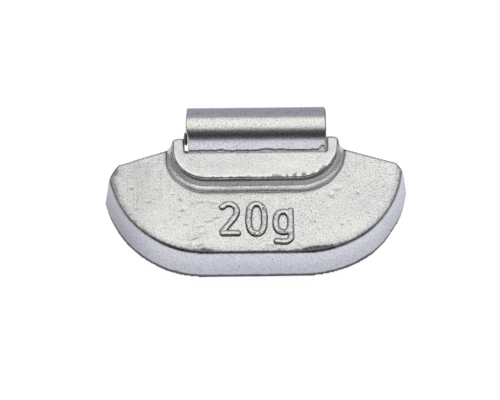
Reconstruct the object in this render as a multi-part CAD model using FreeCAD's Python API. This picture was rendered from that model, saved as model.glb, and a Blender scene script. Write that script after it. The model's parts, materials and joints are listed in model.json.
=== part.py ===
import FreeCAD, Part
import math
import os

# A clip-on wheel balance weight: a crescent of cast zinc alloy with a spring-steel clip cast into it.
# It lies on its back. X runs along the weight, Y from its foot to the clip, Z out of its face.
# The outline is drawn from the middle of the foot edge, and the finished piece is then centred.

# Crescent body of the casting
body_thickness = 5.68
face_length = 36.1
face_height = 15.0
foot_corner_radius = 12.45
foot_draft_deg = 3.0
end_draft_deg = 8.0
shoulder_half_width = 9.45
shoulder_slope_deg = 18.2
tip_corner = 0.8
gate_chamfer_width = 1.05
gate_chamfer_height = 1.7
back_shoulder_radius = 3.3
face_edge_radius = 0.4

# Raised collar round the root of the clip
collar_height = 2.12
collar_width = 20.3
collar_reach = 5.72
collar_left_radius = 4.2
collar_right_radius = 4.95
collar_draft_deg = 5.0
collar_root_radius = 0.8
collar_edge_radius = 0.25
lug_height = 2.03

# Spring-steel clip, bent from one strip
clip_width = 17.25
clip_thickness = 0.95
clip_cover = 0.4
root_bend_radius = 1.15
clip_lean_deg = 30.0
riser_run = 4.137
curl_radius = 2.33
leg_radius = 20.0
leg_reach = 5.4
leg_corner_radius = 2.4
tongue_run = 3.2
tail_bend_radius = 2.0
tail_lean_deg = 15.0
tail_run = 4.4
anchor_hole_diameter = 3.0
anchor_hole_spacing = 9.4
clip_side_clearance = 0.08
clip_gap = 0.05

# Levels that follow from the sizes above
slot_floor = face_height - lug_height
tongue_z = body_thickness - clip_cover - clip_thickness / 2
collar_top = body_thickness + collar_height

# The strip leans back as it rises, and its front leaves the collar's top at the slot's floor
lean_sin = math.sin(math.radians(clip_lean_deg))
lean_cos = math.cos(math.radians(clip_lean_deg))
bend_end = (root_bend_radius * lean_cos, tongue_z + root_bend_radius * (1 - lean_sin))
strip_front = (collar_top - bend_end[1]) * lean_sin / lean_cos - clip_thickness / 2 / lean_cos
root_bend_start = slot_floor + clip_gap - strip_front - bend_end[0]
curl_start = (root_bend_start + bend_end[0] + riser_run * lean_sin, bend_end[1] + riser_run * lean_cos)
curl_centre = (curl_start[0] + curl_radius * lean_cos, curl_start[1] - curl_radius * lean_sin)

# Span of the solids that trim the casting, and how close two levels must lie to be the same
trim_span = 2 * face_length
same_level = 0.01


def edges_where(shape, test):
    """The edges of a shape whose middle point passes a test."""
    found = []
    for edge in shape.Edges:
        middle = edge.valueAt((edge.FirstParameter + edge.LastParameter) / 2)
        if test(edge, middle):
            found.append(edge)
    return found


def body_wire(half_length, foot, radius, z):
    """Crescent outline: straight foot, round corners up to the tips, sloped shoulders and a level top."""
    slope = math.tan(math.radians(shoulder_slope_deg))
    corner_x = half_length - radius
    corner_y = foot + radius
    shoulder_y = face_height - slope * (half_length - shoulder_half_width)

    def on_corner(side, angle_deg):
        angle = math.radians(angle_deg)
        x = corner_x + radius * math.sin(angle)
        return FreeCAD.Vector(side * x, corner_y - radius * math.cos(angle), z)

    def on_slope(side, inset):
        return FreeCAD.Vector(side * (half_length - inset), shoulder_y + slope * inset, z)

    gate_angle = math.degrees(math.acos((corner_y - shoulder_y + gate_chamfer_height) / radius))
    tip_angle = math.degrees(math.acos((corner_y - shoulder_y + tip_corner) / radius))
    foot_left = FreeCAD.Vector(-corner_x, foot, z)
    foot_right = FreeCAD.Vector(corner_x, foot, z)
    tip_low = on_corner(1, tip_angle)
    tip_high = on_slope(1, tip_corner)
    gate_high = on_slope(-1, gate_chamfer_width)
    gate_low = on_corner(-1, gate_angle)
    top_right = FreeCAD.Vector(shoulder_half_width, face_height, z)
    top_left = FreeCAD.Vector(-shoulder_half_width, face_height, z)
    edges = [
        Part.LineSegment(foot_left, foot_right).toShape(),
        Part.Arc(foot_right, on_corner(1, tip_angle / 2), tip_low).toShape(),
        Part.LineSegment(tip_low, tip_high).toShape(),
        Part.LineSegment(tip_high, top_right).toShape(),
        Part.LineSegment(top_right, top_left).toShape(),
        Part.LineSegment(top_left, gate_high).toShape(),
        Part.LineSegment(gate_high, gate_low).toShape(),
        Part.Arc(gate_low, on_corner(-1, gate_angle / 2), foot_left).toShape(),
    ]
    return Part.Wire(edges)


def crescent_body():
    """The body, wider at its back than at its face."""
    end_growth = body_thickness * math.tan(math.radians(end_draft_deg))
    foot_growth = body_thickness * math.tan(math.radians(foot_draft_deg))
    back_radius = foot_corner_radius + (end_growth + foot_growth) / 2
    back = body_wire(face_length / 2 + end_growth, -foot_growth, back_radius, 0)
    face = body_wire(face_length / 2, 0, foot_corner_radius, body_thickness)
    return Part.makeLoft([back, face], True, True)


def collar_wire(grow, z):
    """Outline of the collar: level foot, two round corners, upright sides and an overlong top."""
    half = collar_width / 2 + grow
    foot = face_height - collar_reach - grow
    top = face_height + collar_reach
    left = collar_left_radius + grow
    right = collar_right_radius + grow
    bulge = 1 - math.sqrt(0.5)
    points = [
        FreeCAD.Vector(-half, top, z),
        FreeCAD.Vector(-half, foot + left, z),
        FreeCAD.Vector(-half + left * bulge, foot + left * bulge, z),
        FreeCAD.Vector(-half + left, foot, z),
        FreeCAD.Vector(half - right, foot, z),
        FreeCAD.Vector(half - right * bulge, foot + right * bulge, z),
        FreeCAD.Vector(half, foot + right, z),
        FreeCAD.Vector(half, top, z),
    ]
    edges = [
        Part.LineSegment(points[0], points[1]).toShape(),
        Part.Arc(points[1], points[2], points[3]).toShape(),
        Part.LineSegment(points[3], points[4]).toShape(),
        Part.Arc(points[4], points[5], points[6]).toShape(),
        Part.LineSegment(points[6], points[7]).toShape(),
        Part.LineSegment(points[7], points[0]).toShape(),
    ]
    return Part.Wire(edges)


def strip_edges(start, heading_deg, moves, offset):
    """Edges of one side of a bent strip: each move is a straight run or a (radius, turn) bend."""
    y, z = start
    heading = math.radians(heading_deg)
    edges = []

    def side_point(y, z, heading):
        return FreeCAD.Vector(0, y - offset * math.sin(heading), z + offset * math.cos(heading))

    for move in moves:
        first = side_point(y, z, heading)
        if isinstance(move, tuple):
            radius, turn_deg = move
            turn = math.radians(turn_deg)
            side = math.copysign(1, turn)
            centre_y = y - side * radius * math.sin(heading)
            centre_z = z + side * radius * math.cos(heading)
            stops = []
            for share in (0.5, 1.0):
                angle = heading + share * turn
                stop_y = centre_y + side * radius * math.sin(angle)
                stop_z = centre_z - side * radius * math.cos(angle)
                stops.append((stop_y, stop_z, angle))
            middle = side_point(*stops[0])
            y, z, heading = stops[1]
            edges.append(Part.Arc(first, middle, side_point(y, z, heading)).toShape())
        else:
            y += move * math.cos(heading)
            z += move * math.sin(heading)
            edges.append(Part.LineSegment(first, side_point(y, z, heading)).toShape())
    return edges


def clip_moves():
    """The strip from the end of its tail to the tip of its upper leg."""
    leg_turn = math.degrees(math.asin(leg_reach / leg_radius))
    return [
        tail_run,
        (tail_bend_radius, -tail_lean_deg),
        tongue_run,
        (root_bend_radius, 90 - clip_lean_deg),
        riser_run,
        (curl_radius, clip_lean_deg - 180),
        (leg_radius, -leg_turn),
    ]


def clip_start():
    """Middle of the tail's end, found by walking back from the bend at the root."""
    lean = math.radians(tail_lean_deg)
    down = tongue_run + tail_bend_radius * math.sin(lean) + tail_run * math.cos(lean)
    back = tail_bend_radius * (1 - math.cos(lean)) + tail_run * math.sin(lean)
    return (root_bend_start - down, tongue_z - back)


def clip_strip():
    """The bent strip at its full width, before its holes and corners are cut."""
    half = clip_thickness / 2
    inner = strip_edges(clip_start(), tail_lean_deg, clip_moves(), half)
    outer = strip_edges(clip_start(), tail_lean_deg, clip_moves(), -half)
    tail_end = Part.LineSegment(inner[0].Vertexes[0].Point, outer[0].Vertexes[0].Point).toShape()
    leg_end = Part.LineSegment(inner[-1].Vertexes[-1].Point, outer[-1].Vertexes[-1].Point).toShape()
    wire = Part.Wire(Part.__sortEdges__(inner + outer + [tail_end, leg_end]))
    strip = Part.Face(wire).extrude(FreeCAD.Vector(clip_width, 0, 0))
    strip.translate(FreeCAD.Vector(-clip_width / 2, 0, 0))
    return strip


def leg_corners():
    """What the two rounded free corners of the upper leg leave out, over the leg's whole depth."""
    tip = curl_centre[1] - leg_reach - clip_thickness / 2 * leg_reach / leg_radius
    depth = curl_radius + clip_thickness
    corner = FreeCAD.Vector(-clip_width / 2, curl_centre[0], tip)
    prism = Part.makeBox(clip_width, depth, leg_reach + depth, corner)

    def free_corner(edge, middle):
        return middle.z < tip + same_level and abs(middle.x) > same_level

    return prism.cut(prism.makeFillet(leg_corner_radius, edges_where(prism, free_corner)))


def spring_clip():
    """The clip: strip with rounded leg corners and two holes that the cast metal runs through."""
    clip = clip_strip().cut(leg_corners())
    hole_y = clip_start()[0] + tail_run / 2
    for side in (-1, 1):
        centre = FreeCAD.Vector(side * anchor_hole_spacing / 2, hole_y, 0)
        clip = clip.cut(Part.makeCylinder(anchor_hole_diameter / 2, tongue_z + clip_thickness, centre))
    return clip


def section_bar():
    """The casting's section along its whole length, with the top of its back rounded to clear a rim."""
    corner = FreeCAD.Vector(-trim_span / 2, face_height - trim_span, 0)
    bar = Part.makeBox(trim_span, trim_span, body_thickness + 2 * collar_height, corner)

    def top_back(edge, middle):
        return middle.z < same_level and middle.y > face_height - same_level

    return bar.makeFillet(back_shoulder_radius, edges_where(bar, top_back))


def collared_slab():
    """An oversize slab with the collar raised on it, blended at its root and rounded at its crest."""
    grow = collar_height * math.tan(math.radians(collar_draft_deg))
    root = collar_wire(grow, body_thickness)
    crest = collar_wire(0, collar_top)
    collar = Part.makeLoft([root, crest], True, True)
    corner = FreeCAD.Vector(-trim_span / 2, -trim_span / 2, 0)
    slab = Part.makeBox(trim_span, trim_span, body_thickness, corner).fuse(collar)

    def at_root(edge, middle):
        return abs(middle.z - body_thickness) < same_level and abs(middle.x) < collar_width

    def at_crest(edge, middle):
        return abs(middle.z - body_thickness - collar_height) < same_level

    slab = slab.makeFillet(collar_root_radius, edges_where(slab, at_root))
    return slab.makeFillet(collar_edge_radius, edges_where(slab, at_crest))


def cast_weight(clip):
    """The casting: body and collar in one, with the slot that the clip rises from and the seat it fills."""
    face = Part.Face(body_wire(face_length / 2, 0, foot_corner_radius, body_thickness))
    bounds = crescent_body().fuse(face.extrude(FreeCAD.Vector(0, 0, 2 * collar_height)))
    casting = collared_slab().common(bounds).common(section_bar()).removeSplitter()

    def face_edge(edge, middle):
        return abs(middle.z - body_thickness) < same_level and middle.y < face_height - collar_reach

    casting = casting.makeFillet(face_edge_radius, edges_where(casting, face_edge))
    slot_half = clip_width / 2 + clip_side_clearance
    slot_corner = FreeCAD.Vector(-slot_half, slot_floor, tongue_z)
    slot = Part.makeBox(2 * slot_half, collar_reach, collar_top, slot_corner)
    return casting.cut(slot).cut(clip)


def centred(shapes):
    """The shapes moved so that the origin lies under the middle of their common box."""
    box = Part.makeCompound(shapes).optimalBoundingBox(False, False)
    shift = FreeCAD.Vector(-(box.XMin + box.XMax) / 2, -(box.YMin + box.YMax) / 2, -box.ZMin)
    moved = []
    for shape in shapes:
        copy = shape.copy()
        copy.translate(shift)
        moved.append(copy)
    return moved


clip = spring_clip()
casting, clip = centred([cast_weight(clip), clip])
os.makedirs("parts", exist_ok=True)
casting.exportStep("parts/cast_weight.step")
clip.exportStep("parts/spring_clip.step")
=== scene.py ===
"""A clip-on wheel balance weight of cast zinc alloy with a spring-steel clip, lying on its back."""

import json
import math

import bmesh
import bpy
import numpy as np
from bpy.props import FloatProperty, FloatVectorProperty, PointerProperty
from bpy.types import Operator, Panel, PropertyGroup
from mathutils import Matrix, Vector

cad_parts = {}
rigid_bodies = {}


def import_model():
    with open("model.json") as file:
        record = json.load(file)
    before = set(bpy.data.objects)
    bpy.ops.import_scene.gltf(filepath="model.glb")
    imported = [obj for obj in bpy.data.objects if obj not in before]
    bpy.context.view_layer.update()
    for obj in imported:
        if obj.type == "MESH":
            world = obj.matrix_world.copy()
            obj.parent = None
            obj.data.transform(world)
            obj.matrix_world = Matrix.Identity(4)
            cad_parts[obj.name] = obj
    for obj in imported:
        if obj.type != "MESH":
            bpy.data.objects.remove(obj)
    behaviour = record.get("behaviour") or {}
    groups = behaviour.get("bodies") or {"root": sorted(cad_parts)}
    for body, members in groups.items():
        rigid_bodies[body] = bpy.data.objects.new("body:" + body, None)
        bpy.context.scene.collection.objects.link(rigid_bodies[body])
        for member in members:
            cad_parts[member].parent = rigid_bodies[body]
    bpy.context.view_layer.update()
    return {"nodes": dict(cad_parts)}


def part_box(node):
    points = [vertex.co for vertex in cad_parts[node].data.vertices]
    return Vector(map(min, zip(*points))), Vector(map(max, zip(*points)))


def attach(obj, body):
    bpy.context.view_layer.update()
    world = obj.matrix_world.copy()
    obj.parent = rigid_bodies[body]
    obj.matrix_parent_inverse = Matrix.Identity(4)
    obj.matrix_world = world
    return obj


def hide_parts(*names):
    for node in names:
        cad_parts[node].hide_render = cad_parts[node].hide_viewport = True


for leftover in list(bpy.data.objects):
    bpy.data.objects.remove(leftover)
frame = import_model()

bl_info = {
    "name": "Clip-on Wheel Weight",
    "version": (1, 0, 0),
    "blender": (4, 5, 0),
    "location": "View3D > Sidebar > Wheel Weight",
    "description": "Finishes a cast wheel balance weight and its spring clip",
    "category": "Object",
}

MM = 0.001
BODY = "root"
CAST_HIGH = np.array(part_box("cast_weight")[1]) / MM
CLIP_LOW, CLIP_HIGH = (np.array(corner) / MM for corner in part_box("spring_clip"))

# Sizes of the solids, in millimetres. Places on the face are counted from the middle of its foot edge.
FACE_LEVEL = 5.68
FACE_LENGTH = 36.1
FACE_HEIGHT = 15.0
CORNER_RADIUS = 12.45
SHOULDER_HALF = 9.45
SHOULDER_SLOPE = math.tan(math.radians(18.2))
TIP_CORNER = 0.8
GATE_WIDTH, GATE_HEIGHT = 1.05, 1.7
COLLAR_HALF = 10.15
COLLAR_REACH = 5.72
COLLAR_LEFT, COLLAR_RIGHT = 4.2, 4.95
MIDDLE_X = (CLIP_LOW[0] + CLIP_HIGH[0]) / 2
FOOT_Y = CAST_HIGH[1] - FACE_HEIGHT
CLIP_HALF = (CLIP_HIGH[0] - CLIP_LOW[0]) / 2
CLIP_THICKNESS = 0.95
CLIP_LEAN_DEG = 30.0
TAIL_LENGTH, TAIL_BEND, TAIL_LEAN_DEG = 4.4, 2.0, 15.0
TONGUE_LENGTH, ROOT_BEND, RISER_LENGTH = 3.2, 1.15, 4.137
CURL_BEND = 2.33
LEG_LENGTH, LEG_BEND, LEG_CORNER = 5.4, 20.0, 2.4
LEG_TURN_DEG = math.degrees(math.asin(LEG_LENGTH / LEG_BEND))

# The strip from its tail to the tip of its leg: straight runs, and bends as (radius, turn)
CLIP_MOVES = (
    TAIL_LENGTH,
    (TAIL_BEND, -TAIL_LEAN_DEG),
    TONGUE_LENGTH,
    (ROOT_BEND, 90 - CLIP_LEAN_DEG),
    RISER_LENGTH,
    (CURL_BEND, CLIP_LEAN_DEG - 180),
    (LEG_BEND, -LEG_TURN_DEG),
)

# The collar's section from its flat top to the face as (distance out, height), on the solid and as cast
SOLID_SECTION = (
    (-1.1, 2.12), (-0.25, 2.12), (-0.07, 2.05), (0, 1.87), (0.12, 0.8),
    (0.18, 0.55), (0.33, 0.31), (0.52, 0.11), (0.92, 0), (1.6, 0),
)
CAST_SECTION = (
    (-1.1, 2.12), (-0.2, 2.12), (-0.03, 2.02), (0.04, 1.72), (0.2, 1.05),
    (0.29, 0.7), (0.475, 0.4), (0.66, 0.1), (0.84, 0), (1.6, 0),
)
SECTION_SAMPLES = 25
SOFTENING = 19
SECTION_REACH = 0.3

# Noises as (cell size in millimetres, seed), and as (cell size, seed, height) where several are summed
SWELL, RIPPLE, STRIP_RIPPLE = (4.5, 3), (1.1, 5), (1.3, 33)
FINE, MIDDLE, BROAD = (0.32, 21), (0.9, 22), (3.5, 23)
SPIKES, STREAKS = (0.28, 24), (0.2, 25)
LIP_TONE, LIP_GAPS, BURR_TONE = (0.3, 34), (0.6, 35), (0.22, 53)
FILM_NOISES = ((1.1, 31, 0.12), (0.35, 32, 0.08), (0.14, 36, 0.05))
BURR_NOISES = ((0.55, 51, 0.28), (0.25, 52, 0.16))
LUMP_NOISES = ((0.35, 43, 1.0), (0.18, 44, 0.6))
WAVER_SIZE, WAVER_SEEDS = 0.7, (41, 42)

# Pushes of the skin along X where the cast outline wavers, as (side, height up the face, reach, push)
TIP_PUSHES = ((-1, 13.3, 1.0, 0.37), (-1, 10.9, 1.2, -0.1), (1, 12.2, 1.0, 0.3))
WALL_PUSHES = ((-1, 3.5, 3.0, -0.06), (1, 2.7, 1.2, 0.12), (1, 6.0, 1.0, -0.08))
PUSH_START = 11.0
FOOT_BULGE_X, FOOT_BULGE_REACH, FOOT_BULGE = -10.0, 2.4, 0.11
BACK_EDGE_LIFT, RIGHT_LUG_LIFT = 0.05, 0.12

# Painted shade and dark reflections along lines, and the face's darker parts: widths and places in
# millimetres, darkness from 0 to 1, and humps as (centre, reach, height)
EDGE_WIDTH, SHOULDER_WIDTH, EDGE_REFLECTION_DARK, EDGE_HALO_SHADE = 0.39, 0.13, 0.87, 0.16
FOOT_SPILLS = ((-6.3, 1.0, 0.34), (7.3, 2.1, 0.45))
TIP_SPILLS = ((-17.5, 1.3, 0.2),)
EDGE_NARROWS = ((-11.5, 3.5, 0.05),)
CREST_WIDTH, CREST_REFLECTION_DARK = 0.13, 0.72
ROOT_PLACE, ROOT_WIDTH, ROOT_SHADE_DARK = 0.88, 0.155, 0.96
LEFT_GAP_X, RIGHT_GAP_X, LEFT_FOOT_X = -8.66, 8.76, -8.42
LUG_TOP_Y, CREASE_Y, GAP_SHADE_DARK = 15.0, 12.93, 0.75
WALL_LOW_SHADE, WALL_LEFT_SHADE, WALL_RIGHT_SHADE, COLLAR_LEFT_DARK = 0.2, 0.33, 0.06, 0.4
BACK_LINE_WIDTH, BACK_LINE_SHADE = 0.85, 0.85
LEFT_END_DARK, STREAK_DARK, BROAD_CHANGE = 0.12, 0.17, 0.05
FACE_DULL, LEAST_SKIN_TONE, LEAST_TONE = 0.18, 0.03, 0.05

# The clip: what its sides lack of their full width, the film of cast metal over its foot, the painted shadow
# under the film's lip and the painted shade on its front
LEFT_NARROW, LEFT_CURL_NARROW, LEFT_FOOT_NARROW, RIGHT_CURL_NARROW = 0.1, 0.12, 0.28, 0.07
FILM_HEIGHT, FILM_LEFT_DROP, FILM_THICKNESS = 0.22, 0.15, 0.05
FILM_HUMPS = ((1.0, 1.2, 0.1), (8.2, 0.3, 0.5))
FILM_DARK, FILM_DULL, LIP_WIDTH, LIP_SHADOW_DARK = 0.08, 0.3, 0.045, 0.75
SHEARED_DARK, RISER_SHADE, CURL_SHADE = 0.45, 0.15, 0.24
SECTION_COLUMNS, EDGE_STEPS = 110, 6

# The burr, from the middle of the face's foot edge and the casting's top
BURR_PLACE = (-8.54, 14.84, -0.05)
BURR_LEAN, BURR_DULL, BURR_SHADE, BURR_MOTTLE = 0.35, 0.4, 0.22, 0.3
BALL_TURNS, BALL_RISES = 60, 34

# The mark: its sheet's corners, rough spots as (centre, reach) in X and Y, and a nick as (x, y, reach, depth)
MARK_LOW, MARK_HIGH = (-4.8, 0.6), (4.9, 7.5)
STROKE_POWER, LOOP_POWER = 2.2, 0.8
ROUGH_SPOTS = (((0.1, 0.9), (2.45, 0.4)), ((3.0, 0.8), (2.8, 0.3)))
NICK = (0.82, 5.95, 0.14, 0.18)
SUNK, RIM_SUNK = -0.15, -0.6
STROKE_TONE, STROKE_FOOT_SHADE, ROUGH_DARK = 0.84, 0.79, 0.8

# The coat: colour ramps as (noise, level), and the sizes of its layers as shares of the grain's
GRAIN_TINT = ((0.3, 0.5), (0.48, 0.95), (0.66, 1.0))
PIT_TINT = ((0.3, 0.2), (0.38, 1.0))
PIT_PATCHES, PATCH_MM = ((0.4, 0.3), (0.6, 1.0)), 3.5
COARSE_SIZE, COARSE_DEPTH, PIT_SIZE = 2.4, 1.6, 1.4
METALLIC, PIT_ROUGHER, PIT_RANGE = 0.93, 0.1, (0.3, 0.7)

# The camera's sensor width in millimetres, and the nearest and farthest that it sees, in metres
SENSOR_WIDTH, SEEN_FROM, SEEN_TO = 36, 0.01, 20

# The floor's half size and level in millimetres, and the ranges of Y in metres where its tint changes
FLOOR_HALF, FLOOR_LEVEL = 3000.0, -0.01
FRONT_FLOOR, REAR_FLOOR = (-0.03, -0.07), (0.012, 0.03)

# The sky: the front light's fade as (share of its height, share of its tone), and the sides' pale horizon
FRONT_FADE = ((0.35, 0.38), (0.7, 0.1))
BOX_FADE = 3
SIDE_FADE, SIDE_HORIZON, SIDE_HORIZON_SHARE = 0.15, (0.1, 0.24), 0.45


# Noise, blends and paths


def lattice_noise(points, size, seed):
    """Smooth random values from -1 to 1: a seeded lattice of cell size, blended by a cubic ease."""
    table = np.random.default_rng(seed).uniform(-1, 1, (32, 32, 32))
    cell = points / size
    low = np.floor(cell).astype(int)
    share = cell - low
    share = share * share * (3 - 2 * share)
    total = np.zeros(len(points))
    for corner in np.ndindex(2, 2, 2):
        weight = np.prod(np.where(corner, share, 1 - share), axis=1)
        index = (low + corner) % 32
        total += weight * table[index[:, 0], index[:, 1], index[:, 2]]
    return total


def blend(value, low, high):
    """0 below low, 1 above high, and a cubic ease between."""
    share = np.clip((value - low) / (high - low), 0, 1)
    return share * share * (3 - 2 * share)


def near(value, centre, width):
    """A smooth hump of height 1 at a centre, gone at about twice the width."""
    return np.exp(-(((value - centre) / width) ** 2))


def humps(value, rows):
    """A sum of smooth humps; each row is (centre, width, height)."""
    return sum(height * near(value, centre, width) for centre, width, height in rows)


def noise_sum(points, kinds):
    """A sum of noises; each kind is (cell size, seed, height)."""
    return sum(height * lattice_noise(points, size, seed) for size, seed, height in kinds)


def arc(centre, radii, start_deg, stop_deg, count=24):
    """Points on an elliptic arc from one angle to another, counted anticlockwise from +X."""
    angle = np.radians(np.linspace(start_deg, stop_deg, count))
    return np.stack([centre[0] + radii[0] * np.cos(angle), centre[1] + radii[1] * np.sin(angle)], axis=1)


def face_outline():
    """The face's outline, anticlockwise: level foot, round corners, sloped shoulders and level top."""
    half = FACE_LENGTH / 2
    shoulder_y = FACE_HEIGHT - SHOULDER_SLOPE * (half - SHOULDER_HALF)
    tip = math.degrees(math.acos((CORNER_RADIUS - shoulder_y + TIP_CORNER) / CORNER_RADIUS))
    gate = math.degrees(math.acos((CORNER_RADIUS - shoulder_y + GATE_HEIGHT) / CORNER_RADIUS))
    corner = (half - CORNER_RADIUS, CORNER_RADIUS)
    radii = (CORNER_RADIUS, CORNER_RADIUS)
    right = arc(corner, radii, -90, tip - 90)
    left = arc((-corner[0], corner[1]), radii, -90 - gate, -90)
    top = [
        (half - TIP_CORNER, shoulder_y + SHOULDER_SLOPE * TIP_CORNER),
        (SHOULDER_HALF, FACE_HEIGHT),
        (-SHOULDER_HALF, FACE_HEIGHT),
        (GATE_WIDTH - half, shoulder_y + SHOULDER_SLOPE * GATE_WIDTH),
    ]
    return np.vstack([right, top, left])


def collar_outline():
    """The collar's outline at its crest, anticlockwise, running on past the casting's top."""
    foot = FACE_HEIGHT - COLLAR_REACH
    right = arc((COLLAR_HALF - COLLAR_RIGHT, foot + COLLAR_RIGHT), (COLLAR_RIGHT,) * 2, -90, 0)
    left = arc((COLLAR_LEFT - COLLAR_HALF, foot + COLLAR_LEFT), (COLLAR_LEFT,) * 2, -180, -90)
    top = [(COLLAR_HALF, 3 * FACE_HEIGHT), (-COLLAR_HALF, 3 * FACE_HEIGHT)]
    return np.vstack([right, top, left])


def depth_inside(flat, outline):
    """How far points lie inside a convex outline, past the nearest of its edges' lines, and the way out."""
    depth = np.full(len(flat), np.inf)
    out = np.zeros((len(flat), 2))
    for start, stop in zip(outline, np.roll(outline, -1, axis=0)):
        ahead = stop - start
        length = np.hypot(*ahead)
        if length < 1e-6:
            continue
        inward = np.array([-ahead[1], ahead[0]]) / length
        here = (flat - start) @ inward
        closer = here < depth
        depth[closer] = here[closer]
        out[closer] = -inward
    return depth, out


def path_distance(flat, path):
    """The least distance from points to the straight pieces of a path."""
    least = np.full(len(flat), np.inf)
    for start, stop in zip(path[:-1], path[1:]):
        ahead = stop - start
        share = np.clip((flat - start) @ ahead / (ahead @ ahead), 0, 1)
        least = np.minimum(least, np.linalg.norm(flat - start - share[:, None] * ahead, axis=1))
    return least


# Meshes


def mesh_from_grid(name, grid, close_v=False):
    """A mesh of quads over a grid of points, rows by columns, closed round along its columns if asked."""
    rows, columns = grid.shape[:2]
    u, v = np.meshgrid(np.arange(rows - 1), np.arange(columns if close_v else columns - 1), indexing="ij")
    v_next = (v + 1) % columns
    corners = [u * columns + v, (u + 1) * columns + v, (u + 1) * columns + v_next, u * columns + v_next]
    mesh = bpy.data.meshes.new(name)
    mesh.from_pydata(grid.reshape(-1, 3) * MM, [], np.stack(corners, axis=-1).reshape(-1, 4).tolist())
    return mesh


def tidy_mesh(mesh, merge=1e-7, close=False):
    """Merge doubled points, drop faces with no area, close holes if asked and turn all faces outwards."""
    work = bmesh.new()
    work.from_mesh(mesh)
    bmesh.ops.remove_doubles(work, verts=work.verts, dist=merge)
    bmesh.ops.dissolve_degenerate(work, dist=merge, edges=work.edges)
    if close:
        bmesh.ops.holes_fill(work, edges=[edge for edge in work.edges if edge.is_boundary], sides=0)
    bmesh.ops.recalc_face_normals(work, faces=work.faces)
    work.to_mesh(mesh)
    work.free()
    mesh.shade_smooth()


def new_object(name, mesh):
    """A finished piece at the origin."""
    piece = bpy.data.objects.new(name, mesh)
    bpy.context.scene.collection.objects.link(piece)
    return piece


def dress(piece, material):
    """Give a piece its material and its body."""
    piece.data.materials.clear()
    piece.data.materials.append(material)
    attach(piece, BODY)


def mesh_points(mesh):
    """A mesh's points in millimetres and its point normals."""
    points = np.empty(len(mesh.vertices) * 3, np.float32)
    normals = np.empty(len(mesh.vertices) * 3, np.float32)
    mesh.vertices.foreach_get("co", points)
    mesh.vertex_normals.foreach_get("vector", normals)
    return points.reshape(-1, 3) / MM, normals.reshape(-1, 3)


def paint(mesh, name, values):
    """Store one number a point under a name that the materials read."""
    layer = mesh.attributes.new(name, "FLOAT", "POINT")
    layer.data.foreach_set("value", values.astype(np.float32))


# Materials


def new_material(name):
    """A material with an empty node tree, its Principled shader and its output."""
    material = bpy.data.materials.new(name)
    material.use_nodes = True
    nodes, links = material.node_tree.nodes, material.node_tree.links
    nodes.clear()
    output = nodes.new("ShaderNodeOutputMaterial")
    shader = nodes.new("ShaderNodeBsdfPrincipled")
    links.new(shader.outputs["BSDF"], output.inputs["Surface"])
    return material, nodes, links, shader


def noise_node(nodes, links, grain_mm, detail=2.0, roughness=0.5):
    """Noise on Object coordinates whose cells are about grain_mm across."""
    place = nodes.new("ShaderNodeTexCoord")
    noise = nodes.new("ShaderNodeTexNoise")
    noise.inputs["Scale"].default_value = 1 / (grain_mm * MM)
    noise.inputs["Detail"].default_value = detail
    noise.inputs["Roughness"].default_value = roughness
    links.new(place.outputs["Object"], noise.inputs["Vector"])
    return noise.outputs["Fac"]


def ramp_node(nodes, links, value, stops):
    """A colour ramp over a value; stops are (place, colour) pairs."""
    ramp = nodes.new("ShaderNodeValToRGB")
    while len(ramp.color_ramp.elements) < len(stops):
        ramp.color_ramp.elements.new(0.5)
    for element, (place, colour) in zip(ramp.color_ramp.elements, stops):
        element.position = place
        element.color = (*colour, 1)
    links.new(value, ramp.inputs["Fac"])
    return ramp.outputs["Color"]


def grey(level):
    """A neutral colour."""
    return (level, level, level)


def grey_stops(stops):
    """Stops of a ramp from (place, level) pairs."""
    return [(place, grey(level)) for place, level in stops]


def feed(links, socket, value):
    """Link another socket to this one, or give it a number or a colour."""
    if isinstance(value, bpy.types.NodeSocket):
        links.new(value, socket)
    else:
        socket.default_value = (*value, 1) if isinstance(value, tuple) else value


def mix_colour(nodes, links, kind, factor, first, second):
    """Blend two colours; factor, first and second are sockets or values."""
    mix = nodes.new("ShaderNodeMix")
    mix.data_type = "RGBA"
    mix.blend_type = kind
    for place, value in ((0, factor), (6, first), (7, second)):
        feed(links, mix.inputs[place], value)
    return mix.outputs[2]


def map_node(nodes, links, value, source, result):
    """Carry a value from one range to another, held at the ends."""
    share = nodes.new("ShaderNodeMapRange")
    share.inputs["From Min"].default_value, share.inputs["From Max"].default_value = source
    share.inputs["To Min"].default_value, share.inputs["To Max"].default_value = result
    links.new(value, share.inputs["Value"])
    return share.outputs["Result"]


def math_node(nodes, links, operation, *values):
    """One step of arithmetic on sockets or numbers."""
    step = nodes.new("ShaderNodeMath")
    step.operation = operation
    for socket, value in zip(step.inputs, values):
        feed(links, socket, value)
    return step.outputs[0]


def painted(nodes, name):
    """The number stored on the mesh's points under a name."""
    layer = nodes.new("ShaderNodeAttribute")
    layer.attribute_name = name
    return layer.outputs["Fac"]


def bump_chain(nodes, links, shader, layers):
    """Stack bump layers; each is (height socket, depth in millimetres)."""
    last = None
    for height, depth_mm in layers:
        bump = nodes.new("ShaderNodeBump")
        bump.inputs["Distance"].default_value = depth_mm * MM
        links.new(height, bump.inputs["Height"])
        if last:
            links.new(last, bump.inputs["Normal"])
        last = bump.outputs["Normal"]
    links.new(last, shader.inputs["Normal"])


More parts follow.
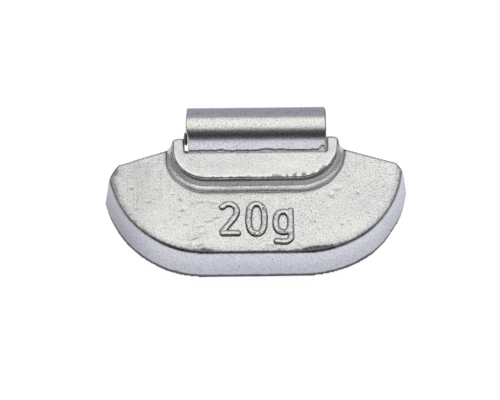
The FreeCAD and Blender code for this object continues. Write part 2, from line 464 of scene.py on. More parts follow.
def coat_material(name, colour, roughness, grain_mm, grain_depth_mm):
    """Silver coat on bare metal: two sizes of grain, dark pits, and the mesh's painted tone, which holds
    painted shade and dark reflections, and dullness.
    """
    material, nodes, links, shader = new_material(name)
    grain = noise_node(nodes, links, grain_mm, detail=1.5)
    coarse = noise_node(nodes, links, grain_mm * COARSE_SIZE, roughness=0.6)
    pits = noise_node(nodes, links, grain_mm * PIT_SIZE, roughness=0.6)
    patches = ramp_node(nodes, links, noise_node(nodes, links, PATCH_MM), grey_stops(PIT_PATCHES))
    tint = ramp_node(nodes, links, grain, grey_stops(GRAIN_TINT))
    pit_tint = ramp_node(nodes, links, pits, grey_stops(PIT_TINT))
    pit_tint = mix_colour(nodes, links, "MIX", patches, grey(1.0), pit_tint)
    tone = mix_colour(nodes, links, "MULTIPLY", 1.0, tint, pit_tint)
    tone = mix_colour(nodes, links, "MULTIPLY", 1.0, tone, painted(nodes, "tone"))
    links.new(mix_colour(nodes, links, "MULTIPLY", 1.0, tone, tuple(colour)), shader.inputs["Base Color"])
    metallic = map_node(nodes, links, painted(nodes, "dull"), (0, 1), (METALLIC, 0))
    links.new(metallic, shader.inputs["Metallic"])
    roughened = map_node(nodes, links, pits, PIT_RANGE, (roughness + PIT_ROUGHER, roughness))
    links.new(roughened, shader.inputs["Roughness"])
    bump_chain(nodes, links, shader, [(grain, grain_depth_mm), (coarse, grain_depth_mm * COARSE_DEPTH)])
    return material


# The casting's skin


def section_line(keys):
    """A section's key points joined by straight runs of even samples, then softened by a running mean."""
    keys = np.array(keys)
    stops = np.linspace(0, len(keys) - 1, SECTION_SAMPLES * (len(keys) - 1) + 1)
    line = np.stack([np.interp(stops, np.arange(len(keys)), keys[:, axis]) for axis in (0, 1)], axis=1)
    padded = np.pad(line, ((SOFTENING // 2, SOFTENING // 2), (0, 0)), mode="edge")
    kernel = np.ones(SOFTENING) / SOFTENING
    return np.stack([np.convolve(padded[:, axis], kernel, mode="valid") for axis in (0, 1)], axis=1)


def collar_shift(outside, height):
    """How far out and up the cast collar's section lies from the solid's, at points of the solid's."""
    solid, cast = section_line(SOLID_SECTION), section_line(CAST_SECTION)
    least = np.full(len(outside), np.inf)
    shift = np.zeros((len(outside), 2))
    for place, move in zip(solid, cast - solid):
        gap = np.hypot(outside - place[0], height - place[1])
        closer = gap < least
        least[closer] = gap[closer]
        shift[closer] = move
    shift[least > SECTION_REACH] = 0
    return shift


# Marks in the face as (x, y, length, width, turn in degrees, depth, darkness); a depth below 0 is raised
FACE_MARKS = (
    (-9.24, 7.65, 0.375, 0.13, -50, 0.07, 0.315),
    (-9.02, 6.11, 0.165, 0.16, 0, 0.08, 0.35),
    (-9.3, 5.2, 0.12, 0.12, 0, 0.05, 0.21),
    (-8.6, 4.1, 0.2625, 0.12, -10, 0.05, 0.21),
    (-15.23, 9.28, 0.15, 0.16, 0, 0.07, 0.28),
    (-15.32, 5.62, 0.225, 0.12, 60, 0.06, 0.245),
    (-14.6, 6.4, 0.1875, 0.1, -60, 0.05, 0.21),
    (-13.1, 7.3, 0.15, 0.14, 0, 0.06, 0.21),
    (-12.2, 9.1, 0.12, 0.12, 0, 0.05, 0.21),
    (-10.2, 8.3, 0.1125, 0.1, 0, 0.05, 0.21),
    (-6.9, 7.2, 0.525, 0.1, 8, 0.03, 0.07),
    (-5.3, 7.1, 0.6, 0.1, -12, 0.03, 0.105),
    (-5.6, 4.25, 0.675, 0.1, 18, -0.05, 0.14),
    (-4.9, 4.7, 0.375, 0.1, 5, -0.05, 0.14),
    (-6.9, 3.8, 0.6, 0.12, 12, 0.04, 0.084),
    (-6.6, 2.9, 0.525, 0.12, 8, 0.04, 0.056),
    (-7.6, 1.75, 0.6, 0.15, 25, -0.07, 0),
    (-8.1, 1.45, 0.375, 0.12, 30, 0.06, 0.126),
    (-6.9, 1.3, 0.45, 0.12, 15, 0.05, 0.084),
    (1.7, 1.2, 0.675, 0.1, 5, 0.04, 0.175),
    (5.1, 1.2, 0.375, 0.1, -40, 0.05, 0.245),
    (5.4, 1.8, 0.09, 0.1, 0, 0.05, 0.28),
    (7.5, 3.3, 0.09, 0.12, 0, 0.06, 0.315),
    (10.4, 3.9, 0.165, 0.14, 0, 0.06, 0.245),
    (7.1, 4.3, 0.09, 0.12, 0, 0.05, 0.245),
    (8.6, 6.3, 0.105, 0.12, 0, 0.05, 0.21),
    (11.2, 4.4, 0.105, 0.1, 0, 0.05, 0.21),
    (3.6, 7.6, 0.09, 0.12, 0, 0.05, 0.245),
    (-1.9, 8, 0.15, 0.1, 0, 0.04, 0.14),
    (9.9, 8.9, 0.375, 0.3, 20, 0.04, 0.084),
    (9.2, 8, 0.375, 0.3, -20, 0.04, 0.084),
    (12.4, 8.3, 0.225, 0.2, 0, 0.04, 0.084),
)


def mark_shape(flat, marks):
    """Depth and darkness of the face's marks: each is a bell over its turned, stretched distance."""
    depth, dark = np.zeros(len(flat)), np.zeros(len(flat))
    for x, y, length, width, turn, deep, tone in marks:
        cos, sin = math.cos(math.radians(turn)), math.sin(math.radians(turn))
        side, rise = flat[:, 0] - x, flat[:, 1] - y
        along, across = (side * cos + rise * sin) / length, (rise * cos - side * sin) / width
        bell = np.exp(-(along**2) - across**2)
        depth += deep * bell
        dark = np.maximum(dark, tone * bell)
    return depth, dark


class SkinPlaces:
    """Where the skin's points lie on the face, over it and inside its outlines, and three sizes of noise."""

    def __init__(self, points, normals):
        self.points, self.normals = points, normals
        self.flat = points[:, :2] - np.array([MIDDLE_X, FOOT_Y])
        self.x, self.y = self.flat.T
        self.z, self.up = points[:, 2], normals[:, 2]
        self.height = self.z - FACE_LEVEL
        self.fine, self.middle, self.broad = (lattice_noise(points, *kind) for kind in (FINE, MIDDLE, BROAD))
        self.depth = depth_inside(self.flat, face_outline())[0]
        self.inside, self.collar_out = depth_inside(self.flat, collar_outline())
        self.outside = -self.inside
        self.on_face = blend(self.up, 0.6, 0.8) * blend(self.height, -0.35, -0.2)
        self.mark_depth, self.mark_dark = mark_shape(self.flat, FACE_MARKS)


def cast_shape(skin, sizes):
    """The skin's new points.

    The collar's section is carried from the solid's to the cast one, and the outline is pushed where the
    photograph's wavers. A soft swell, a fine ripple and the face's marks move the skin along its normals.
    """
    x, y, z, height = skin.x, skin.y, skin.z, skin.height
    shift = collar_shift(skin.outside, height) * blend(height, -0.1, 0.05)[:, None]
    move = np.column_stack([skin.collar_out * shift[:, :1], shift[:, 1]])
    walls = blend(-skin.up, -0.45, -0.2) * (height < 0.1)
    tips = blend(np.abs(x), 14.5, 16.5) * np.where(x > 0, 1 - 0.8 * blend(z, 3.5, 5.5), 1)
    for pushes, where in ((TIP_PUSHES, tips), (WALL_PUSHES, walls)):
        for side, centre, reach, push in pushes:
            move[:, 0] += push * near(y, centre, reach) * where * (side * x > PUSH_START)
    move[:, 1] -= FOOT_BULGE * walls * near(x, FOOT_BULGE_X, FOOT_BULGE_REACH) * (y < 4)
    move[:, 1] += BACK_EDGE_LIFT * walls * (y < 0.6) * blend(-z, -1.2, -0.2)
    move[:, 1] += RIGHT_LUG_LIFT * blend(x, 8.4, 8.8) * blend(y, 13.5, 14.8) * blend(height, 0.5, 1)
    swell, ripple = (lattice_noise(skin.points, *kind) for kind in (SWELL, RIPPLE))
    relief = sizes.swell_mm * swell + sizes.ripple_mm * ripple
    relief -= skin.mark_depth * skin.on_face * (height < 0.3)
    return skin.points + move + skin.normals * relief[:, None]


def painted_edge_reflection_and_halo(skin):
    """Painted dark reflection along the face's edge, and painted shade in a soft halo inside it.

    The line is as wide as noise says, thin along the shoulders, and wider where the mould let metal out.
    """
    x, height = skin.x, skin.height
    foot = blend(skin.y, 12.4, 11.4)
    spill = humps(x, FOOT_SPILLS) * blend(-skin.y, -3, -1.5) + humps(x, TIP_SPILLS)
    width = EDGE_WIDTH + 0.08 * skin.middle + 0.12 * skin.fine + spill - humps(x, EDGE_NARROWS)
    width = width * foot + SHOULDER_WIDTH * (1 - foot)
    line = blend(width - skin.depth, -0.1, 0.12) * blend(height, -0.55, -0.4) * blend(skin.up, 0.15, 0.4)
    line *= blend(skin.outside, 0.3, 0.8) * (0.9 + 0.1 * skin.fine)
    halo = near(skin.depth, width + 0.15, 0.3) * skin.on_face * foot * (skin.outside > 1)
    dark = EDGE_REFLECTION_DARK - 0.3 * blend(np.abs(x), 9, 17) + 0.1 * blend(spill, 0.1, 0.3)
    return dark * line, EDGE_HALO_SHADE * halo


def painted_collar_reflection_and_shade(skin):
    """Painted dark reflection along the collar's crest, which spikes make ragged, and painted shade in the
    crease along its root.
    """
    upright = skin.points * (1, 0.15, 0.15)
    spikes = np.maximum(lattice_noise(upright, *SPIKES), 0) * (0.15 + 0.6 * near(skin.x, 4.5, 4))
    width = CREST_WIDTH + 0.07 * skin.fine + 0.06 * skin.middle + spikes
    crest = blend(width - skin.inside, -0.06, 0.08) * blend(skin.height, 1.35, 1.6)
    crest *= 0.85 + 0.15 * skin.fine
    root = near(skin.outside, ROOT_PLACE + 0.05 * skin.middle, ROOT_WIDTH)
    root *= (skin.height < 0.3) * blend(skin.height, -0.3, -0.1)
    return CREST_REFLECTION_DARK * crest, ROOT_SHADE_DARK * root


def painted_gap_shade(skin):
    """Painted shade in the gaps between lugs and clip, and in the crease where the clip leaves the collar."""
    x, y, fine = skin.x, skin.y, skin.fine
    gap = near(x, LEFT_GAP_X - 0.1 * blend(y, 13.2, 14.6), 0.12 + 0.1 * blend(y, 13.4, 14.6))
    gap += 0.45 * near(x, RIGHT_GAP_X, 0.07)
    gap = np.maximum(gap, near(y, LUG_TOP_Y, 0.16) * blend(x, 8.6, 8.9) * (0.8 + 0.4 * fine))
    gap = np.clip(gap, 0, 1) * blend(y, 12.9, 13.3) * (skin.height > 1.5)
    gap = np.maximum(gap, near(x, LEFT_FOOT_X, 0.28) * blend(y, 12.95, 13.05) * (skin.height > 0))
    crease = near(y, CREASE_Y, 0.07) * (np.abs(x) < CLIP_HALF) * (skin.height > 1.5)
    return GAP_SHADE_DARK * np.maximum(gap * (0.7 + 0.3 * fine), crease * (0.6 + 0.4 * skin.middle))


def painted_wall_shade(skin):
    """Painted shade on the side walls, growing towards the back and the ends, and in a line along the back.
    """
    x, z = skin.x, skin.z
    walls = blend(-skin.up, -0.5, -0.2)
    ends = WALL_LEFT_SHADE * blend(-x, 11, 17) + WALL_RIGHT_SHADE * blend(x, 14, 17)
    line = blend(BACK_LINE_WIDTH + 0.1 * skin.middle + 0.06 * skin.fine - z, 0, 0.28)
    line *= blend(-skin.up, -0.8, -0.4) * blend(-skin.y, -11, -7)
    return walls * (WALL_LOW_SHADE * blend(-z, -5.2, -1) + ends), BACK_LINE_SHADE * line


def face_dark(skin):
    """Darkness of the face: its marks, its left end and fine upright streaks on its left half."""
    upright = skin.points * (1, 0.12, 0.12)
    streaks = np.maximum(lattice_noise(upright, *STREAKS), 0) * blend(-skin.x, 3, 9)
    left_end = blend(-skin.x, 11.5, 14.5)
    shares = (skin.mark_dark, LEFT_END_DARK * left_end, -BROAD_CHANGE * skin.broad, STREAK_DARK * streaks)
    return [share * skin.on_face for share in shares]


def cast_relief(points, normals, sizes):
    """New places, tone and dullness of the casting's skin. Each darkness takes its share of the tone: painted
    shade and dark reflections along edges, walls, gaps and the collar, and the face's marks, streaks and left
    end.
    """
    skin = SkinPlaces(points, normals)
    outside, height = skin.outside, skin.height
    collar_wall = blend(outside, -0.05, 0.0) * blend(height, 0.5, 0.66) * blend(-height, -1.6, -1.3)
    left_wall = COLLAR_LEFT_DARK * blend(-skin.x, 7.0, 9.5) * collar_wall
    tone = np.ones(len(points))
    lines = (*painted_edge_reflection_and_halo(skin), *painted_wall_shade(skin), *painted_collar_reflection_and_shade(skin), painted_gap_shade(skin))
    for share in (*lines, left_wall, *face_dark(skin)):
        tone *= 1 - share
    dull = np.maximum(collar_wall, FACE_DULL * blend(outside, 0.7, 1.1) * skin.on_face)
    return cast_shape(skin, sizes), np.clip(tone, LEAST_SKIN_TONE, 1), dull


def cast_skin(sizes):
    """The casting's solid remade as an even skin of small faces, then carried to its relief."""
    mesh = frame["nodes"]["cast_weight"].data.copy()
    tidy_mesh(mesh, merge=1e-6)
    rough = new_object("cast_skin_start", mesh)
    remesh = rough.modifiers.new("skin", "REMESH")
    remesh.mode = "VOXEL"
    remesh.voxel_size = sizes.skin_cell_mm * MM
    remesh.use_smooth_shade = True
    shown = rough.evaluated_get(bpy.context.evaluated_depsgraph_get())
    skin = bpy.data.meshes.new_from_object(shown)
    bpy.data.objects.remove(rough)
    points, tone, dull = cast_relief(*mesh_points(skin), sizes)
    points[:, 2] = np.maximum(points[:, 2], 0)
    skin.vertices.foreach_set("co", (points * MM).ravel().astype(np.float32))
    paint(skin, "tone", tone)
    paint(skin, "dull", dull)
    skin.update()
    skin.shade_smooth()
    skin.name = "cast_skin"
    return new_object("cast_skin", skin)


# The spring clip


def strip_line(step):
    """The strip's middle line in Y and Z and its heading: each run or bend is sampled a step apart."""
    place, heading = np.zeros(2), math.radians(TAIL_LEAN_DEG)
    lines, headings = [place[None]], [np.array([heading])]
    for move in CLIP_MOVES:
        if isinstance(move, tuple):
            radius, turn = move[0], math.radians(move[1])
            side = math.copysign(1, turn)
            angle = heading + turn * np.linspace(0, 1, math.ceil(abs(turn) * radius / step) + 1)[1:]
            centre = place + side * radius * np.array([-math.sin(heading), math.cos(heading)])
            points = centre + side * radius * np.stack([np.sin(angle), -np.cos(angle)], axis=1)
        else:
            far = move * np.linspace(0, 1, math.ceil(move / step) + 1)[1:]
            points = place + far[:, None] * np.array([math.cos(heading), math.sin(heading)])
            angle = np.full(len(far), heading)
        place, heading = points[-1], angle[-1]
        lines.append(points)
        headings.append(angle)
    return np.vstack(lines), np.concatenate(headings)


def strip_section(edge_radius):
    """The strip's section, a flat bar with round edges: share of the width, offsets across and through."""
    angle = np.radians(np.linspace(0, 90, EDGE_STEPS))
    inset = CLIP_THICKNESS / 2 - edge_radius
    flat = np.linspace(-1, 1, SECTION_COLUMNS)
    level = np.full(SECTION_COLUMNS, CLIP_THICKNESS / 2)
    over = [np.stack([flat, 0 * flat, level], axis=1)]
    for side, start in ((1, 1), (1, -1), (-1, -1), (-1, 1)):
        turn = angle if start * side < 0 else angle[::-1]
        across, through = side * edge_radius * np.cos(turn), start * (inset + edge_radius * np.sin(turn))
        over.append(np.stack([np.full(EDGE_STEPS, side), across, through], axis=1))
        if (side, start) == (1, -1):
            over.append(np.stack([flat[::-1], 0 * flat, -level], axis=1))
    return np.vstack(over)


def strip_grid(sizes):
    """The strip's section carried along its bent middle line, closed by a flat row at each end.

    Its half width is full, less a quarter circle at the leg's tip. The left side is a little narrower, and
    narrowest at its foot. Both sides narrow where the curl turns down.
    """
    line, heading = strip_line(sizes.strip_step_mm)
    across = np.stack([-np.sin(heading), np.cos(heading)], axis=1)
    outer = line + across * CLIP_THICKNESS / 2
    line += np.array([CLIP_HIGH[1], CLIP_HIGH[2]]) - outer.max(axis=0) - sizes.strip_sink_mm
    far = np.concatenate([[0], np.cumsum(np.linalg.norm(np.diff(line, axis=0), axis=1))])
    short = np.clip(LEG_CORNER - (far[-1] - far), 0, LEG_CORNER)
    half = CLIP_HALF - LEG_CORNER + np.sqrt(LEG_CORNER**2 - short**2)
    section = strip_section(sizes.strip_edge_mm)
    wide = section[None, :, 0] * (half[:, None] - sizes.strip_edge_mm) + section[None, :, 1]
    turned = np.degrees(heading)[:, None]
    left = LEFT_NARROW + LEFT_CURL_NARROW * blend(-turned, -30, 45)
    left += LEFT_FOOT_NARROW * blend(turned, 25, 55)
    right = RIGHT_CURL_NARROW * blend(-turned, 20, 60)
    wide += left * np.clip(-wide / CLIP_HALF, 0, 1) - right * np.clip(wide / CLIP_HALF, 0, 1)
    thick = section[None, :, 2]
    rows = [MIDDLE_X + wide, line[:, :1] + across[:, :1] * thick, line[:, 1:] + across[:, 1:] * thick]
    grid = np.stack(rows, axis=2)
    ends = grid[[0, -1]]
    ends[:, :, 1:] = ends[:, :, 1:].mean(axis=1, keepdims=True)
    return np.concatenate([ends[:1], grid, ends[1:]])


def clip_film(points, normals):
    """How far a film of cast metal covers the clip's foot, up to a ragged line, and how much painted shadow
    lies under its lip.
    """
    x = points[:, 0] - MIDDLE_X
    above = points[:, 2] - CAST_HIGH[2]
    front = blend(-normals[:, 1], 0.3, 0.6) * blend(points[:, 2], CAST_HIGH[2] - 0.5, CAST_HIGH[2] - 0.2)
    stretched = points * (1, 0.1, 0.1)
    film = FILM_HEIGHT + noise_sum(stretched, FILM_NOISES) + humps(x, FILM_HUMPS)
    film -= FILM_LEFT_DROP * blend(-x, 6.5, 8)
    covered = blend(film - above, -0.02, 0.05) * front
    unbroken = blend(lattice_noise(stretched, *LIP_GAPS), -0.75, -0.25)
    lip_shadow = near(above, film + 0.02, LIP_WIDTH) * front * unbroken
    return covered, lip_shadow


def clip_strip(sizes):
    """The clip: its bent bar with a fine ripple, the film over its foot, a painted shadow under the film's
    lip, dark edges and painted shade on its front.
    """
    mesh = mesh_from_grid("spring_clip_strip", strip_grid(sizes), close_v=True)
    tidy_mesh(mesh, merge=1e-6, close=True)
    points, normals = mesh_points(mesh)
    covered, lip_shadow = clip_film(points, normals)
    relief = sizes.ripple_mm * lattice_noise(points, *STRIP_RIPPLE) + FILM_THICKNESS * covered
    raised = points + normals * relief[:, None]
    mesh.vertices.foreach_set("co", (raised * MM).ravel().astype(np.float32))
    sheared = blend(np.abs(points[:, 0] - MIDDLE_X), CLIP_HALF - 0.22, CLIP_HALF - 0.1)
    curl = blend(points[:, 2] - CAST_HIGH[2], 0.4, 1.9)
    # The line under the film's lip is a painted shadow, mottled by noise.
    tone = 1 - LIP_SHADOW_DARK * lip_shadow * (0.8 + 0.2 * lattice_noise(raised, *LIP_TONE))
    tone *= (1 - FILM_DARK * covered) * (1 - SHEARED_DARK * sheared)
    # Painted shade on the faces turned to the front, deeper up the curl.
    tone *= 1 - (RISER_SHADE + CURL_SHADE * curl) * blend(-normals[:, 1], 0.5, 0.7)
    paint(mesh, "tone", np.clip(tone, LEAST_TONE, 1))
    paint(mesh, "dull", FILM_DULL * covered)
    return new_object("spring_clip_strip", mesh)


def lug_burr(sizes):
    """Torn flash between the left lug and the clip: a ball squeezed into a fin that noise makes ragged."""
    turns = np.linspace(0, 2 * math.pi, BALL_TURNS, endpoint=False)
    turn, rise = np.meshgrid(turns, np.linspace(-math.pi / 2, math.pi / 2, BALL_RISES))
    ball = np.stack([np.cos(rise) * np.cos(turn), np.cos(rise) * np.sin(turn), np.sin(rise)], axis=2)
    flat = ball.reshape(-1, 3)
    swell = 1 + noise_sum(flat, BURR_NOISES)
    swell[:BALL_TURNS], swell[-BALL_TURNS:] = swell[0], swell[-1]
    shape = flat * swell[:, None] * sizes.burr_size_mm
    shape[:, 1] -= BURR_LEAN * shape[:, 0]
    points = shape + np.array([MIDDLE_X, FOOT_Y, CAST_HIGH[2]]) + BURR_PLACE
    mesh = mesh_from_grid("lug_burr", points.reshape(*ball.shape), close_v=True)
    # The burr's dark, mottled tone is painted shade in the gap between the lug and the clip.
    paint(mesh, "tone", BURR_SHADE + BURR_MOTTLE * lattice_noise(points, *BURR_TONE))
    paint(mesh, "dull", np.full(len(points), BURR_DULL))
    tidy_mesh(mesh)
    return new_object("lug_burr", mesh)


# The raised mass mark


def soft_power(value, power):
    """A value's power that keeps its sign."""
    return np.sign(value) * np.abs(value) ** power


def mark_strokes():
    """Middle lines of the digits and the unit, from the middle of the face's foot edge."""
    turn = np.radians(np.linspace(0, 360, 65))
    loop = np.stack([soft_power(np.cos(turn), LOOP_POWER), soft_power(np.sin(turn), LOOP_POWER)], axis=1)
    slope = [[-2.5, 5.3], [-2.74, 4.82], [-3.36, 4.0], [-4.12, 3.05], [-4.12, 2.72]]
    two = np.vstack([[[-4.17, 6.36]], arc((-3.35, 5.85), (0.93, 0.92), 135, -15), slope])
    bar = np.array([[-4.12, 2.72], [-2.3, 2.72]])
    nought = np.array([-0.02, 4.69]) + loop * (0.95, 2.08)
    bowl = np.array([3.2, 4.2]) + loop * (0.88, 1.42)
    stem = np.vstack([[[4.12, 5.75], [4.12, 2.4]], arc((3.32, 2.2), (0.8, 0.75), 0, -90, 12), [[2.4, 1.55]]])
    return [two, bar, nought, bowl, stem]


def mass_mark(sizes):
    """The mark as one sheet over its strokes, with its sides and bottom sunk in the casting.

    Its height is a flattened half ellipse over the distance to the nearest middle line. It drops under the
    skin outside the strokes, whose feet are dark.
    """
    spans = [np.arange(low, high, sizes.mark_cell_mm) for low, high in zip(MARK_LOW, MARK_HIGH)]
    grid = np.stack(np.meshgrid(*spans, indexing="ij"), axis=2)
    flat = grid.reshape(-1, 2)
    x, y = flat.T
    solid = np.column_stack([flat, np.zeros(len(flat))])
    waver = np.stack([lattice_noise(solid, WAVER_SIZE, seed) for seed in WAVER_SEEDS], axis=1)
    placed = flat + waver * sizes.mark_waver_mm
    distance = np.min([path_distance(placed, stroke) for stroke in mark_strokes()], axis=0)
    share = np.clip(distance / (sizes.mark_stroke_mm / 2), 0, 1)
    lumps = noise_sum(solid, LUMP_NOISES)
    rough = sum(near(x, *along_x) * near(y, *along_y) for along_x, along_y in ROUGH_SPOTS)
    rise = np.sqrt(1 - share**STROKE_POWER) * (1 + 0.05 * lumps - 0.25 * rough * (lumps > 0))
    height = sizes.mark_relief_mm * rise
    nick_x, nick_y, nick_reach, nick_depth = NICK
    height -= nick_depth * near(x, nick_x, nick_reach) * near(y, nick_y, nick_reach)
    height = np.where(share < 1, height, SUNK)
    # Painted shade at the strokes' feet, where they meet the face.
    tone = STROKE_TONE - STROKE_FOOT_SHADE * blend(share, 0.7, 0.88)
    tone *= 1 - ROUGH_DARK * rough * (lumps > 0.15)
    rim = np.ones(grid.shape[:2], bool)
    rim[1:-1, 1:-1] = False
    height = np.where(rim.ravel(), RIM_SUNK, height)
    points = np.column_stack([flat + (MIDDLE_X, FOOT_Y), FACE_LEVEL + height])
    mesh = mesh_from_grid("mass_mark", points.reshape(*rim.shape, 3))
    paint(mesh, "tone", np.clip(tone, LEAST_TONE, 1))
    paint(mesh, "dull", np.zeros(len(points)))
    tidy_mesh(mesh, close=True)
    return new_object("mass_mark", mesh)


# The stage


def add_camera(stage):
    """The camera at the photograph's viewing angle, looking at its target and rolled about its own axis."""
    data = bpy.data.cameras.new("camera")
    data.lens = stage.lens_mm
    data.sensor_width = SENSOR_WIDTH
    data.clip_start, data.clip_end = SEEN_FROM, SEEN_TO
    camera = bpy.data.objects.new("camera", data)
    bpy.context.scene.collection.objects.link(camera)
    height, turn = math.radians(stage.elevation_deg), math.radians(stage.azimuth_deg)
    away = Vector((math.sin(turn) * math.cos(height), -math.cos(turn) * math.cos(height), math.sin(height)))
    target = Vector(stage.target_mm) * MM
    place = target + away * stage.distance_mm * MM
    ahead = (target - place).normalized().to_track_quat("-Z", "Y").to_matrix().to_4x4()
    roll = Matrix.Rotation(math.radians(stage.roll_deg), 4, "Z")
    camera.matrix_world = Matrix.Translation(place) @ ahead @ roll
    bpy.context.scene.camera = camera


def floor_material(stage):
    """A pale floor: near white to the camera, tinted in metal, plain with soft shadows to other light."""
    material, nodes, links, shader = new_material("pale_floor")
    nodes.remove(shader)
    plain = nodes.new("ShaderNodeBsdfDiffuse")
    plain.inputs["Color"].default_value = (*stage.floor_colour, 1)
    glow = nodes.new("ShaderNodeEmission")
    rays = nodes.new("ShaderNodeLightPath").outputs
    place = nodes.new("ShaderNodeTexCoord")
    split = nodes.new("ShaderNodeSeparateXYZ")
    links.new(place.outputs["Object"], split.inputs["Vector"])
    spans = (FRONT_FLOOR, REAR_FLOOR)
    ahead, behind = (map_node(nodes, links, split.outputs["Y"], span, (0, 1)) for span in spans)
    tint = mix_colour(nodes, links, "MIX", ahead, tuple(stage.floor_colour), tuple(stage.front_tone))
    tint = mix_colour(nodes, links, "MIX", behind, tint, tuple(stage.rear_tone))
    tint = mix_colour(nodes, links, "MIX", rays["Is Camera Ray"], tint, grey(stage.floor_white))
    links.new(tint, glow.inputs["Color"])
    sharp = math_node(nodes, links, "MAXIMUM", rays["Is Glossy Ray"], rays["Is Transmission Ray"])
    sharp = math_node(nodes, links, "MAXIMUM", rays["Is Camera Ray"], sharp)
    mixed = nodes.new("ShaderNodeMixShader")
    links.new(map_node(nodes, links, sharp, (0, 1), (0, 1 - stage.floor_shadow)), mixed.inputs["Fac"])
    links.new(plain.outputs["BSDF"], mixed.inputs[1])
    links.new(glow.outputs["Emission"], mixed.inputs[2])
    output = next(node for node in nodes if node.type == "OUTPUT_MATERIAL")
    links.new(mixed.outputs["Shader"], output.inputs["Surface"])
    return material


def add_floor(stage):
    """A plain pale floor just under the part."""
    steps = np.array([-FLOOR_HALF, FLOOR_HALF])
    x, y = np.meshgrid(steps, steps, indexing="ij")
    grid = np.stack([x, y, np.full_like(x, FLOOR_LEVEL)], axis=2)
    floor = new_object("floor", mesh_from_grid("floor", grid))
    floor.data.materials.append(floor_material(stage))


def scaled(colour, share):
    """A colour times a share."""
    return tuple(share * part for part in colour)


def add_sky(stage):
    """Studio light by direction: the angle from the front over the top to the back picks the tone.

    The light is a pale horizon in front, dim above it, a bright wide softbox overhead and a blue-grey wall
    behind. Both sides are dim over a pale horizon. The camera sees plain white.
    """
    world = bpy.data.worlds.new("studio")
    world.use_nodes = True
    nodes, links = world.node_tree.nodes, world.node_tree.links
    back = nodes["Background"]
    place = nodes.new("ShaderNodeTexCoord")
    split = nodes.new("ShaderNodeSeparateXYZ")
    links.new(place.outputs["Generated"], split.inputs["Vector"])
    towards = math_node(nodes, links, "MULTIPLY", split.outputs["Y"], -1)
    angle = math_node(nodes, links, "ARCTAN2", split.outputs["Z"], towards)
    turn = map_node(nodes, links, angle, (0, math.pi), (0, 1))
    front, dim, box, rear = map(tuple, (stage.front_tone, stage.dim_tone, stage.box_tone, stage.rear_tone))
    stops = (
        (0, front),
        *((height * stage.front_top_deg, scaled(front, share)) for height, share in FRONT_FADE),
        (stage.front_top_deg, dim),
        (stage.box_low_deg - BOX_FADE * stage.box_soft_deg, dim),
        (stage.box_low_deg + BOX_FADE * stage.box_soft_deg, box),
        (stage.box_high_deg - stage.box_soft_deg, box),
        (stage.box_high_deg + stage.box_soft_deg, rear),
    )
    tone = ramp_node(nodes, links, turn, [(place_deg / 180, colour) for place_deg, colour in stops])
    side = math_node(nodes, links, "ABSOLUTE", split.outputs["X"])
    share = map_node(nodes, links, side, (stage.side_start, stage.side_start + SIDE_FADE), (0, 1))
    side_tones = (scaled(front, SIDE_HORIZON_SHARE), tuple(stage.side_tone))
    low = ramp_node(nodes, links, split.outputs["Z"], list(zip(SIDE_HORIZON, side_tones)))
    tone = mix_colour(nodes, links, "MIX", share, tone, low)
    path = nodes.new("ShaderNodeLightPath")
    tone = mix_colour(nodes, links, "MIX", path.outputs["Is Camera Ray"], tone, grey(1.0))
    links.new(tone, back.inputs["Color"])
    bpy.context.scene.world = world
    bpy.context.scene.view_settings.view_transform = "Standard"


# Settings


def number_setting(name, description, default):
    """A size, an angle or a share that a user may change."""
    return FloatProperty(name=name, description=description, default=default)


def colour_setting(name, description, default):
    """A colour that a user may change."""
    return FloatVectorProperty(name=name, description=description, subtype="COLOR", default=default)


class WeightSizes(PropertyGroup):
    """Sizes of the parts of the weight that are added to its solids."""

    skin_cell_mm: number_setting("Skin cell", "Face size of the cast skin, mm", 0.148)
    swell_mm: number_setting("Swell", "Height of the soft swell of the casting, mm", 0.03)
    ripple_mm: number_setting("Ripple", "Height of the fine ripple, mm", 0.008)
    strip_step_mm: number_setting("Strip step", "Face size along the clip, mm", 0.11)
    strip_edge_mm: number_setting("Strip edge", "Radius of the sheared edges, mm", 0.16)
    strip_sink_mm: number_setting("Strip sink", "Clip's drop below its solid, mm", 0.16)
    burr_size_mm: FloatVectorProperty(
        name="Burr", description="Half sizes of the burr, mm", default=(0.24, 0.8, 0.6)
    )
    mark_cell_mm: number_setting("Mark cell", "Face size of the mark, mm", 0.045)
    mark_stroke_mm: number_setting("Stroke", "Width of the mark's strokes, mm", 0.86)
    mark_relief_mm: number_setting("Relief", "Height of the mark's strokes, mm", 0.35)
    mark_waver_mm: number_setting("Waver", "Unevenness of the mark's strokes, mm", 0.03)


class WeightFinish(PropertyGroup):
    """Colours and grain of the metal."""

    cast_colour: colour_setting("Cast metal", "Colour of the silver coat", (0.97, 0.97, 0.955))
    clip_colour: colour_setting("Clip", "Colour of the coated steel", (0.82, 0.82, 0.82))
    cast_roughness: number_setting("Cast roughness", "Gloss of the casting", 0.22)
    clip_roughness: number_setting("Clip roughness", "Gloss of the clip", 0.2)
    grain_mm: number_setting("Grain", "Size of the coat's grain, mm", 0.13)
    cast_grain_mm: number_setting("Cast grain", "Depth of the casting's grain, mm", 0.006)
    clip_grain_mm: number_setting("Clip grain", "Depth of the clip's grain, mm", 0.005)


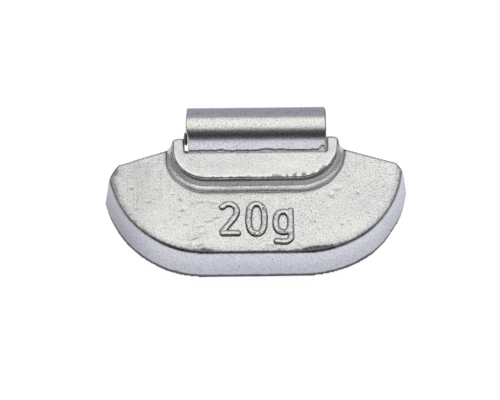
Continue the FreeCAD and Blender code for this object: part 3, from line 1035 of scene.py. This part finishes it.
class WeightStage(PropertyGroup):
    """Camera, floor and light."""

    elevation_deg: number_setting("Elevation", "Camera above the floor, degrees", 60.0)
    azimuth_deg: number_setting("Azimuth", "Camera's turn round the part, degrees", -1.5)
    roll_deg: number_setting("Roll", "Camera roll, degrees", 0.7)
    distance_mm: number_setting("Distance", "Camera to target, mm", 300)
    lens_mm: number_setting("Lens", "Focal length, mm", 175.3)
    target_mm: FloatVectorProperty(
        name="Target", description="Point that the camera looks at, mm", default=(-0.797, -0.492, 3.0)
    )
    floor_colour: colour_setting("Floor", "Colour of the floor", (0.79, 0.8, 0.91))
    floor_white: number_setting("Floor white", "How white the camera sees the floor", 1.07)
    floor_shadow: number_setting("Shadow", "Share of the floor that takes shadow", 0.1)
    front_tone: colour_setting("Front", "Light low in front", (1.6, 1.61, 1.77))
    front_top_deg: number_setting("Front height", "Where the front light ends, degrees", 27)
    dim_tone: colour_setting("Dim", "Dim part above the front light", (0.052, 0.052, 0.056))
    box_tone: colour_setting("Softbox", "Colour of the softbox", (1.15, 1.15, 1.105))
    box_low_deg: number_setting("Softbox near", "Near edge of the softbox, degrees", 68)
    box_high_deg: number_setting("Softbox far", "Far edge of the softbox, degrees", 124.5)
    box_soft_deg: number_setting("Softbox fade", "Half the width of its soft edges", 3)
    rear_tone: colour_setting("Rear", "Tone of the rear wall", (0.36, 0.375, 0.45))
    side_tone: colour_setting("Sides", "Tone of both side walls", (0.09, 0.09, 0.1))
    side_start: number_setting("Side start", "How far sideways the walls begin", 0.62)


# Operators


class WEIGHT_OT_cast_skin(Operator):
    """Give the casting its uneven cast skin and silver coat"""

    bl_idname = "weight.cast_skin"
    bl_label = "Cast Skin"

    def execute(self, context):
        finish = context.scene.weight_finish
        skin = cast_skin(context.scene.weight_sizes)
        coat = coat_material(
            "silver_cast", finish.cast_colour, finish.cast_roughness, finish.grain_mm, finish.cast_grain_mm
        )
        dress(skin, coat)
        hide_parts("cast_weight")
        return {"FINISHED"}


class WEIGHT_OT_clip_strip(Operator):
    """Bend the spring clip from its coated strip"""

    bl_idname = "weight.clip_strip"
    bl_label = "Clip Strip"

    def execute(self, context):
        finish = context.scene.weight_finish
        strip = clip_strip(context.scene.weight_sizes)
        coat = coat_material(
            "coated_steel", finish.clip_colour, finish.clip_roughness, finish.grain_mm, finish.clip_grain_mm
        )
        dress(strip, coat)
        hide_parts("spring_clip")
        return {"FINISHED"}


class WEIGHT_OT_lug_burr(Operator):
    """Leave the torn flash between the left lug and the clip"""

    bl_idname = "weight.lug_burr"
    bl_label = "Lug Burr"

    def execute(self, context):
        burr = lug_burr(context.scene.weight_sizes)
        dress(burr, bpy.data.materials["silver_cast"])
        return {"FINISHED"}


class WEIGHT_OT_mass_mark(Operator):
    """Raise the mass mark on the face"""

    bl_idname = "weight.mass_mark"
    bl_label = "Mass Mark"

    def execute(self, context):
        mark = mass_mark(context.scene.weight_sizes)
        dress(mark, bpy.data.materials["silver_cast"])
        return {"FINISHED"}


class WEIGHT_OT_stage(Operator):
    """Set up the floor, the light and the camera"""

    bl_idname = "weight.stage"
    bl_label = "Stage"

    def execute(self, context):
        stage = context.scene.weight_stage
        add_floor(stage)
        add_sky(stage)
        add_camera(stage)
        return {"FINISHED"}


class WEIGHT_PT_panel(Panel):
    """The weight's tools in the sidebar"""

    bl_idname = "WEIGHT_PT_panel"
    bl_label = "Wheel Weight"
    bl_space_type = "VIEW_3D"
    bl_region_type = "UI"
    bl_category = "Wheel Weight"

    def draw(self, context):
        for operator in OPERATORS:
            self.layout.operator(operator.bl_idname)


GROUPS = (("weight_sizes", WeightSizes), ("weight_finish", WeightFinish), ("weight_stage", WeightStage))
OPERATORS = (
    WEIGHT_OT_cast_skin, WEIGHT_OT_clip_strip, WEIGHT_OT_lug_burr, WEIGHT_OT_mass_mark, WEIGHT_OT_stage,
)


def register():
    """Register the settings, the operators and the panel."""
    for name, group in GROUPS:
        bpy.utils.register_class(group)
        setattr(bpy.types.Scene, name, PointerProperty(type=group))
    for kind in (*OPERATORS, WEIGHT_PT_panel):
        bpy.utils.register_class(kind)


def unregister():
    """Take everything out again."""
    for kind in reversed((*OPERATORS, WEIGHT_PT_panel)):
        bpy.utils.unregister_class(kind)
    for name, group in reversed(GROUPS):
        delattr(bpy.types.Scene, name)
        bpy.utils.unregister_class(group)


def main():
    """Build every piece in order."""
    register()
    bpy.ops.weight.cast_skin()
    bpy.ops.weight.clip_strip()
    bpy.ops.weight.lug_burr()
    bpy.ops.weight.mass_mark()
    bpy.ops.weight.stage()


if __name__ == "__main__":
    main()
